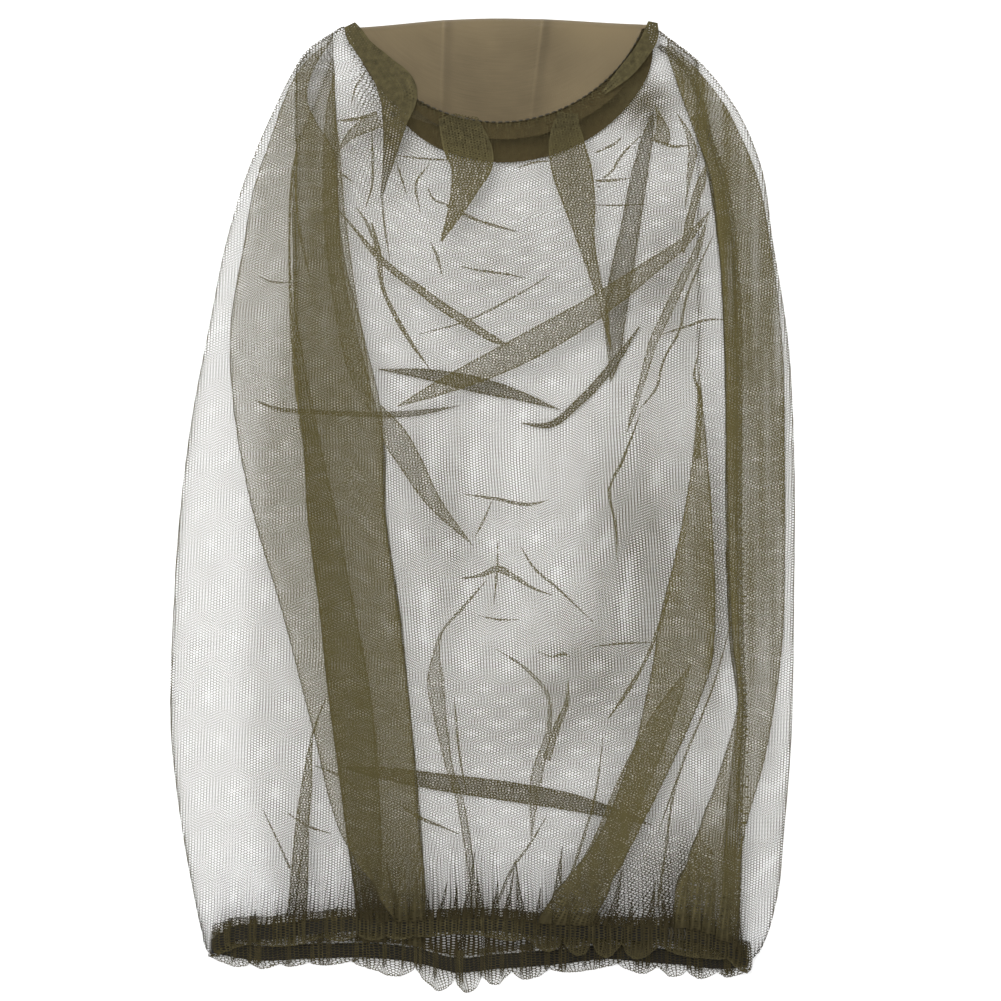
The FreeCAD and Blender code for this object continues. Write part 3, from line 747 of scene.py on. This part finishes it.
def make_crown():
    """One round cloth folded over at +Y: the front leaf, the fold and the back leaf."""
    across = np.linspace(-1, 1, CROWN_COLUMNS)[None, :]
    share = np.linspace(0, 1, LEAF_ROWS)[:, None]

    def leaf(half, centre_y, height):
        x = CROWN_X + across * (half + 0 * share)
        seam = crown_edge(x, centre_y) - SEAM_TUCK
        fold = through(CROWN_FOLD, x) - CROWN_FOLD_RADIUS
        y = seam + (fold - seam) * share
        return np.stack((x, y, height(x, y)), -1)

    front = leaf(FRONT_HALF, FRONT_CROWN_Y, crown_leaf_height)
    back = leaf(BACK_HALF, BACK_CROWN_Y, crown_back_height)[::-1]
    turn = np.linspace(0, math.pi, FOLD_ROWS + 2)[1:-1, None]
    middle_x = (front[-1, :, 0] + back[0, :, 0]) / 2
    top_z, low_z = front[-1, :, 2], back[0, :, 2]
    bulge = CROWN_FOLD_RADIUS * np.sin(turn)
    fold = np.stack(np.broadcast_arrays(
        middle_x, front[-1, :, 1] + bulge,
        (top_z + low_z) / 2 + (top_z - low_z) / 2 * np.cos(turn)), -1)
    points = np.concatenate((front, fold, back))
    down = np.cumsum(np.linalg.norm(np.diff(points, axis=0, prepend=points[:1]), axis=-1), axis=0)
    x, y = points[..., 0], points[..., 1]
    # Painted light and shade on the crown: lighter up to its folded top edge and towards the right, a
    # little darker elsewhere, in soft patches; each pack crease gets a painted highlight line with
    # painted shade on its right.
    rise = np.clip(1 - (through(CROWN_FOLD, x) - y) / 46, 0, 1)
    light_and_shade = 0.75 * rise ** 3 + 0.6 * ease((x - 22) / 38) - 0.15 + 0.15 * waves(x, y, 60, 0.5)
    for crease in PACK_CREASES:
        past = past_crease(x, y, crease)
        line = 0.5 * np.exp(-(past / 0.7) ** 2) - 0.45 * np.exp(-((past - 2.6) / 2.4) ** 2)
        light_and_shade += (0.4 + 0.6 * rise) * line
    cloth = np.stack((x, down), -1)
    piece = make_piece("crown_cloth", CROWN_CLOTH, *join_grids([(points, cloth)]), light_and_shade=light_and_shade)
    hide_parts("crown_panel")


def crown_arc(centre_y, radius, start, end, count=40):
    """Points of the crown's round seam between two angles in degrees, 270 at the bottom."""
    angle = np.radians(np.linspace(start, end, count))
    return np.stack((CROWN_X + radius * np.cos(angle), centre_y + radius * np.sin(angle)), -1)


ALLOWANCE_WIDTH = ((0, 2), (0.12, 7), (0.3, 10), (0.5, 11), (0.8, 10.5), (0.93, 8), (1, 3))
BACK_WIDER = 1.35  # the back allowance's width, as a share of the front one's
# The netting folded over the crown's corners: its line of (x, y), its widths along the line
# as (share, width), its columns, and the share of the line where it thins out.
CORNERS = (
    (((-68.5, 246.5), (-66.7, 242.7), (-62, 235.4), (-52.2, 224.4), (-43.5, 211), (-45, 195),
      (-47.5, 178), (-51.9, 156)),
     ((0, 6), (0.04, 8.5), (0.13, 9.5), (0.28, 13.5), (0.43, 20), (0.6, 12.6), (0.77, 7),
      (1, 0.8)), 10, 0.68),
    (((88, 248), (86.5, 240), (82, 232), (74, 222), (62, 210)),
     ((0, 5), (0.08, 7), (0.4, 8), (0.7, 7), (1, 2)), 8, 0.8),
)
# Blends the netting over the crown's corners a little towards the painted shade colour.
CORNER_TONE = -0.15


def make_crown_allowance():
    """The seam allowances of the crown, seen through the netting below it."""
    front_arc = crown_arc(FRONT_CROWN_Y, CROWN_RADIUS + 4, 238, 336)
    back_arc = crown_arc(BACK_CROWN_Y, CROWN_RADIUS + 3, 232, 340)
    back_width = [(share, BACK_WIDER * width) for share, width in ALLOWANCE_WIDTH]
    piece = make_piece("crown_allowance", SEAM_CLOTH, *join_grids([
        ribbon(front_arc, ALLOWANCE_WIDTH, lambda x, y: front_height(x, y) - 0.7, frill=0.25,
               seed=0.4),
        ribbon(back_arc, back_width, lambda x, y: back_height(x, y) + 1.1, frill=0.3, seed=2.1)]))
    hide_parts("crown_seam_allowance")


def make_crown_binding():
    """The gathered netting folded over the crown's two corners."""
    def over_crown(x, y):
        return np.maximum(front_height(x, y) + 1.8, crown_leaf_height(x, y) + 0.5)

    grids, gather = [], []
    for path, widths, columns, thin in CORNERS:
        grid, place = ribbon(path, widths, over_crown, frill=0.2, across=columns)
        grids.append((grid, place))
        share = np.linspace(0, 1, len(grid))[:, None]
        from_edge = np.abs(place[:, :1, 0]) - np.abs(place[..., 0])
        gather.append((0.6 + 0.8 * (1 - ease((share - thin) / 0.2)) + np.exp(-share / 0.06)
                       + 0.9 * np.exp(-from_edge / 0.6)).ravel())
    piece = make_piece("crown_corner_gathers", GATHERED_NET, *join_grids(grids),
                       np.concatenate(gather), CORNER_TONE)


# ---------------- thread

THREAD_SIDES = 6
STITCH_STEPS = 4
STITCH_POINTS = STITCH_STEPS + 1


def thread_tube(path, radius):
    """Points of rings round a thread's line, small at its two ends."""
    path = np.asarray(path, float)
    turn = np.gradient(path, axis=0)
    turn /= np.linalg.norm(turn, axis=1)[:, None]
    side = np.cross(turn, (0.0, 0.0, 1.0))
    side /= np.linalg.norm(side, axis=1)[:, None] + 1e-9
    rise = np.cross(side, turn)
    angle = np.linspace(0, math.tau, THREAD_SIDES, endpoint=False)
    size = np.full(len(path), radius)
    size[0] = size[-1] = 0.25 * radius
    ring = side[:, None] * np.cos(angle)[:, None] + rise[:, None] * np.sin(angle)[:, None]
    return (path[:, None] + ring * size[:, None, None]).reshape(-1, 3)


def sew(name, stitches, radius, node):
    """One mesh of separate stitches, each a bent length of thread."""
    points = [thread_tube(stitch, radius) for stitch in stitches]
    starts = np.cumsum([0] + [len(tube) for tube in points])
    faces = [grid_faces(len(stitch), THREAD_SIDES, closed=True) + start
             for stitch, start in zip(stitches, starts)]
    piece = make_piece(name, THREAD, np.concatenate(points), np.concatenate(faces))
    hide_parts(node)


def running_stitches(line, length, gap, height):
    """Stitches along a line of (x, y, z), each one arched over the cloth."""
    run = np.append(0, np.cumsum(np.linalg.norm(np.diff(line, axis=0), axis=1)))
    share = np.linspace(0, 1, STITCH_POINTS)
    stitches = []
    for start in np.arange(0, run[-1] - length, length + gap):
        at = start + length * share
        place = np.stack([np.interp(at, run, line[:, axis]) for axis in range(3)], -1)
        place[:, 2] += height * np.sin(math.pi * share)
        stitches.append(place)
    return stitches


make_crown()
make_crown_allowance()
make_crown_binding()

seam_arc = crown_arc(FRONT_CROWN_Y, CROWN_RADIUS + 0.5, 205, 335, count=120)
seam_line = np.column_stack((seam_arc, crown_leaf_height(*seam_arc.T) + 0.1))
sew("crown_stitches", running_stitches(seam_line, length=2.6, gap=0.9, height=0.35), 0.28,
    "crown_seam_stitching")

# ---------------- the side seam

SIDE_SEAM = (
    (91, 236), (104, 225), (113, 205), (118, 185), (123.5, 170), (127.5, 151), (130, 124), (132, 93),
    (132, 51), (132, -30), (133, -75), (134.5, -108), (133, -140), (131.5, -205), (131, -222)
)
SIDE_SEAM_WIDTH = 3.0


def make_side_seam():
    """A doubled strip of netting, overlocked along both edges with dark thread."""
    def upper(x, y):
        return front_height(x, y) - 0.9

    def lower(x, y):
        return upper(x, y) - 0.5

    strip, place = ribbon(SIDE_SEAM, SIDE_SEAM_WIDTH, upper, across=5, frill=0.15)
    low_ply = ribbon(SIDE_SEAM, SIDE_SEAM_WIDTH - 0.6, lower, across=5, frill=0.15, seed=1.0)
    # The seam strip gets a little painted light, the warmer colour of light through stacked layers.
    piece = make_piece("side_seam_strip", GATHERED_NET, *join_grids([(strip, place), low_ply]),
                       gather=0.2, light_and_shade=0.3)
    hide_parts("side_seam_allowance")

    stitches = []
    for edge, inner in ((0, 1), (-1, -2)):
        outer_turn = (np.arange(len(strip)) % 2 == 0)[:, None]
        zigzag = np.where(outer_turn, strip[:, edge], strip[:, inner])
        zigzag[:, 2] += 0.3
        stitches += [zigzag[first:first + STITCH_POINTS]
                     for first in range(0, len(zigzag) - STITCH_STEPS, STITCH_STEPS)]
    stitches += [stitch + (0, 0, 0.5) for stitch in
                 running_stitches(strip[:, 2], length=2.6, gap=0.5, height=0.2)]
    sew("side_seam_thread", stitches, 0.3, "side_seam_stitching")


make_side_seam()

# ---------------- the hem and its elastic

RING_LOW, RING_HIGH = 2.0, 8.6
ELASTIC_WIDTH, ELASTIC_THICK = 7.6, 1.1
CASING_COUNT, ELASTIC_COUNT = 1300, 360  # places round the hem and round the elastic
# The casing across its width: (how far above the elastic's middle, how far out of it).
CASING_ROWS = ((CASING_ABOVE, 0.4), (6.0, 0.7), (3.8, 1.1), (0.0, 1.3), (-3.8, 1.1), (-5.0, 0.8))
FRILL_ROWS = 5
FRILL_TOP, FRILL_LEAST = 5.0, 5.2  # below the elastic's middle line
FRONT_FRILL = ((-140, 2.5), (-60, 3), (-40, 1.5), (0, 1.5), (20, 5), (115, 6), (140, 2.5))
BACK_FRILL = ((-140, 3.5), (-60, 4.5), (-40, 9), (-15, 10), (5, 7), (40, 4), (115, 4.5), (140, 1.5))
LOOSE_PITCH, GATHER_PITCH = 12, 3.6  # of the hem's folds, between and in its gathers
HEM_STRETCH = 1.8  # net taken up by the hem's folds
BAR_X, BAR_SWING = 96 + 1.6 * np.arange(6), (-0.5, 0, 0.5, 0, -0.5)  # of the elastic's join


def ring_line(count):
    """Middle line of the elastic once round, the front half first, and its outward normal."""
    angle = np.linspace(0, math.tau, count, endpoint=False)
    x = RING_MIDDLE + RING_HALF * np.cos(angle)
    front = np.sin(angle) >= 0
    y = np.where(front, through(FRONT_ELASTIC, x), through(BACK_ELASTIC, x))
    bulge = np.sign(np.sin(angle)) * np.abs(np.sin(angle)) ** 0.35
    z = (RING_HIGH + RING_LOW) / 2 + (RING_HIGH - RING_LOW) / 2 * bulge
    normal = np.stack((np.cos(angle) ** 9, 0 * angle, bulge), -1)
    normal /= np.linalg.norm(normal, axis=1)[:, None]
    run = np.cumsum(np.hypot(np.diff(x, prepend=x[:1]), np.diff(z, prepend=z[:1])))
    return np.stack((x, y, z), -1), normal, run, front


def close_ring(grid, cloth):
    """Repeats the first column so that the cloth place runs on past the join."""
    step = np.abs(np.diff(cloth[:, :2, 0], axis=1)).max()
    again = cloth[:, :1] + (cloth[:, -1:, 0:1] - cloth[:, :1, 0:1] + step) * (1, 0)
    return np.concatenate((grid, grid[:, :1]), 1), np.concatenate((cloth, again), 1)


def casing_folds(x, run, front):
    """Folds of the casing per millimetre of the ring, and how bunched it is."""
    density, bunch = np.full(len(x), 1 / LOOSE_PITCH), np.zeros(len(x))
    for side, gathers in ((front, FRONT_GATHERS), (~front, BACK_GATHERS)):
        for start, width, _, _ in gathers:
            near = side * np.exp(-((x - start) / (0.5 * width)) ** 2)
            density += near / GATHER_PITCH
            bunch += near
    return density + (0.02 * np.sin(run / 7.3) + 0.015 * np.sin(run / 3.1)), bunch


def make_casing():
    """The hem: netting folded over the elastic and gathered, with a frilled lower edge."""
    line, normal, run, front = ring_line(CASING_COUNT)
    x = line[:, 0]
    density, bunch = casing_folds(x, run, front)
    phase = math.tau * np.cumsum(density * np.diff(run, prepend=0))
    lobe = np.abs(np.sin(x * math.pi / 21 + 1.2 * np.sin(x / 17 + 3 * front) + front)) ** 0.7
    below = FRILL_LEAST + lobe * np.where(front, through(FRONT_FRILL, x), through(BACK_FRILL, x))
    rows = [(np.full(CASING_COUNT, offset), out) for offset, out in CASING_ROWS]
    for number in range(1, FRILL_ROWS + 1):
        share = number / FRILL_ROWS
        rows.append((-FRILL_TOP - (below - FRILL_TOP) * share, 0.8 * (1 - share) + 0.15))
    outer = [line + normal * out + np.outer(offset, (0, 1, 0)) for offset, out in rows]
    thickness = [0.3] * FRILL_ROWS + [0.3 + 2 * out for _, out in CASING_ROWS[::-1]]
    inner = [points - normal * thick for points, thick in zip(outer[::-1], thickness)]
    grid = np.array(outer + inner)
    drop = np.array([CASING_ABOVE - offset for offset, _ in rows])
    down = np.concatenate((drop, 2 * drop[-1] - drop[::-1]))
    depth = np.linspace(0, 1, len(outer))
    depth = np.concatenate((depth, depth[::-1]))[:, None]
    loose = 1 - 0.75 * np.exp(-((depth - 1) / 0.25) ** 2)
    grid[..., 0] += 0.3 / density * loose * np.sin(phase + 0.5 * depth)
    grid[..., 2] += 0.5 * loose * (1 + np.cos(phase + 0.5 * depth)) * np.where(front, 1, 0.6)
    grid[..., 2] = np.clip(grid[..., 2], 0.25, None)
    cloth = np.stack((np.broadcast_to(run * HEM_STRETCH, grid.shape[:2]), down), -1)
    crowded = np.where(front, 0.3 + 0.3 * ease((x + 75) / 30), 0.25) + 0.6 * np.clip(bunch, 0, 1)
    gather = crowded * (1 - np.where(front, 0.3, 0.6) * depth ** 4)
    gather = gather + 0.9 * np.exp(-((down - CASING_ABOVE - below) / 0.7) ** 2)
    gather = np.concatenate((gather, gather[:, :1]), 1)
    # Painted shade over the casing, deepest at its top and lifting towards the frilled edge, a little
    # deeper on the hem's right side.
    light_and_shade = -0.5 + 0.5 * depth ** 4 - 0.25 * ease((np.append(x, x[0]) - 10) / 20)
    grid, cloth = close_ring(grid, cloth)
    piece = make_piece("neck_hem", NET, *join_grids([(grid, cloth)]), gather, light_and_shade)
    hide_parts("hem_casing")

    seam = grid[0] + (0, -0.6, 0.3)
    sew("hem_stitches", running_stitches(seam, length=2.6, gap=1.2, height=0.3), 0.25,
        "hem_stitching")


def make_elastic():
    """A flat braided band, once round the neck hem, with the zigzag bars of its join."""
    line, normal, run, _ = ring_line(ELASTIC_COUNT)
    pucker = 0.25 * np.sin(line[:, 0] * math.tau / 6.3)[:, None] * np.array((0, 0.6, 0.5))
    half, thick = ELASTIC_WIDTH / 2, ELASTIC_THICK / 2
    inset = half - 0.3
    profile = ((inset, thick), (0, thick + 0.05), (-inset, thick), (-half, thick / 2),
               (-half, -thick / 2), (-inset, -thick), (inset, -thick), (half, -thick / 2),
               (half, thick / 2), (inset, thick))
    grid = np.array([line + pucker + normal * out + np.array((0, offset, 0))
                     for offset, out in profile])
    down = np.cumsum([0] + [math.dist(a, b) for a, b in zip(profile, profile[1:])])
    cloth = np.stack(np.broadcast_arrays(run[None, :], down[:, None]), -1)
    piece = make_piece("neck_elastic_band", ELASTIC, *join_grids([close_ring(grid, cloth)]))
    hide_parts("neck_elastic")

    zigzag = np.stack((BAR_SWING, np.linspace(-half, half, STITCH_POINTS), np.zeros(STITCH_POINTS)),
                      -1)
    bars = [(x, through(FRONT_ELASTIC, x), RING_HIGH + thick + 0.15) + zigzag for x in BAR_X]
    sew("elastic_joint_bars", bars, 0.25, "elastic_bartack")


make_casing()
make_elastic()

# ---------------- the studio

FLOOR_REACH, FLOOR_DROP = 3.0, 0.0002  # metres
# Lamps: (name, place, size, power), in metres and watts.
LAMPS = (("key", (-0.5, 0.7, 1.6), 1.2, 30), ("fill", (0.8, -0.6, 1.6), 1.4, 10))
LENS, SENSOR = 85, 36
VIEW_WIDTH, VIEW_X, VIEW_Y, AIM_HEIGHT = 515.5, 9.3, 1.0, 8  # what the camera sees


def make_studio():
    """White floor, soft light from above, and a camera that looks straight down."""
    mesh = bpy.data.meshes.new("floor")
    corners = [(-1, -1), (1, -1), (1, 1), (-1, 1)]
    mesh.from_pydata([(x * FLOOR_REACH, y * FLOOR_REACH, 0) for x, y in corners], [],
                     [(0, 1, 2, 3)])
    floor = put("floor", mesh)
    white = Nodes("white_paper")
    mesh.materials.append(white.finish(Base_Color=(0.92, 0.92, 0.92, 1.0), Roughness=0.9))
    floor.location.z = -FLOOR_DROP

    world = bpy.data.worlds.new("studio")
    world.use_nodes = True
    background = world.node_tree.nodes["Background"].inputs
    background["Color"].default_value = (1, 1, 1, 1)
    background["Strength"].default_value = 0.8
    scene = bpy.context.scene
    scene.world = world

    for name, place, size, power in LAMPS:
        light = bpy.data.lights.new(name, "AREA")
        light.size, light.energy = size, power
        put(name, light).location = place

    optics = bpy.data.cameras.new("camera")
    optics.lens, optics.sensor_width = LENS, SENSOR
    camera = put("camera", optics)
    distance = VIEW_WIDTH * LENS / SENSOR
    camera.location = (VIEW_X * MM, VIEW_Y * MM, (AIM_HEIGHT + distance) * MM)
    scene.camera = camera
    scene.view_settings.view_transform = "Standard"
    scene.cycles.transparent_max_bounces = 48


make_studio()
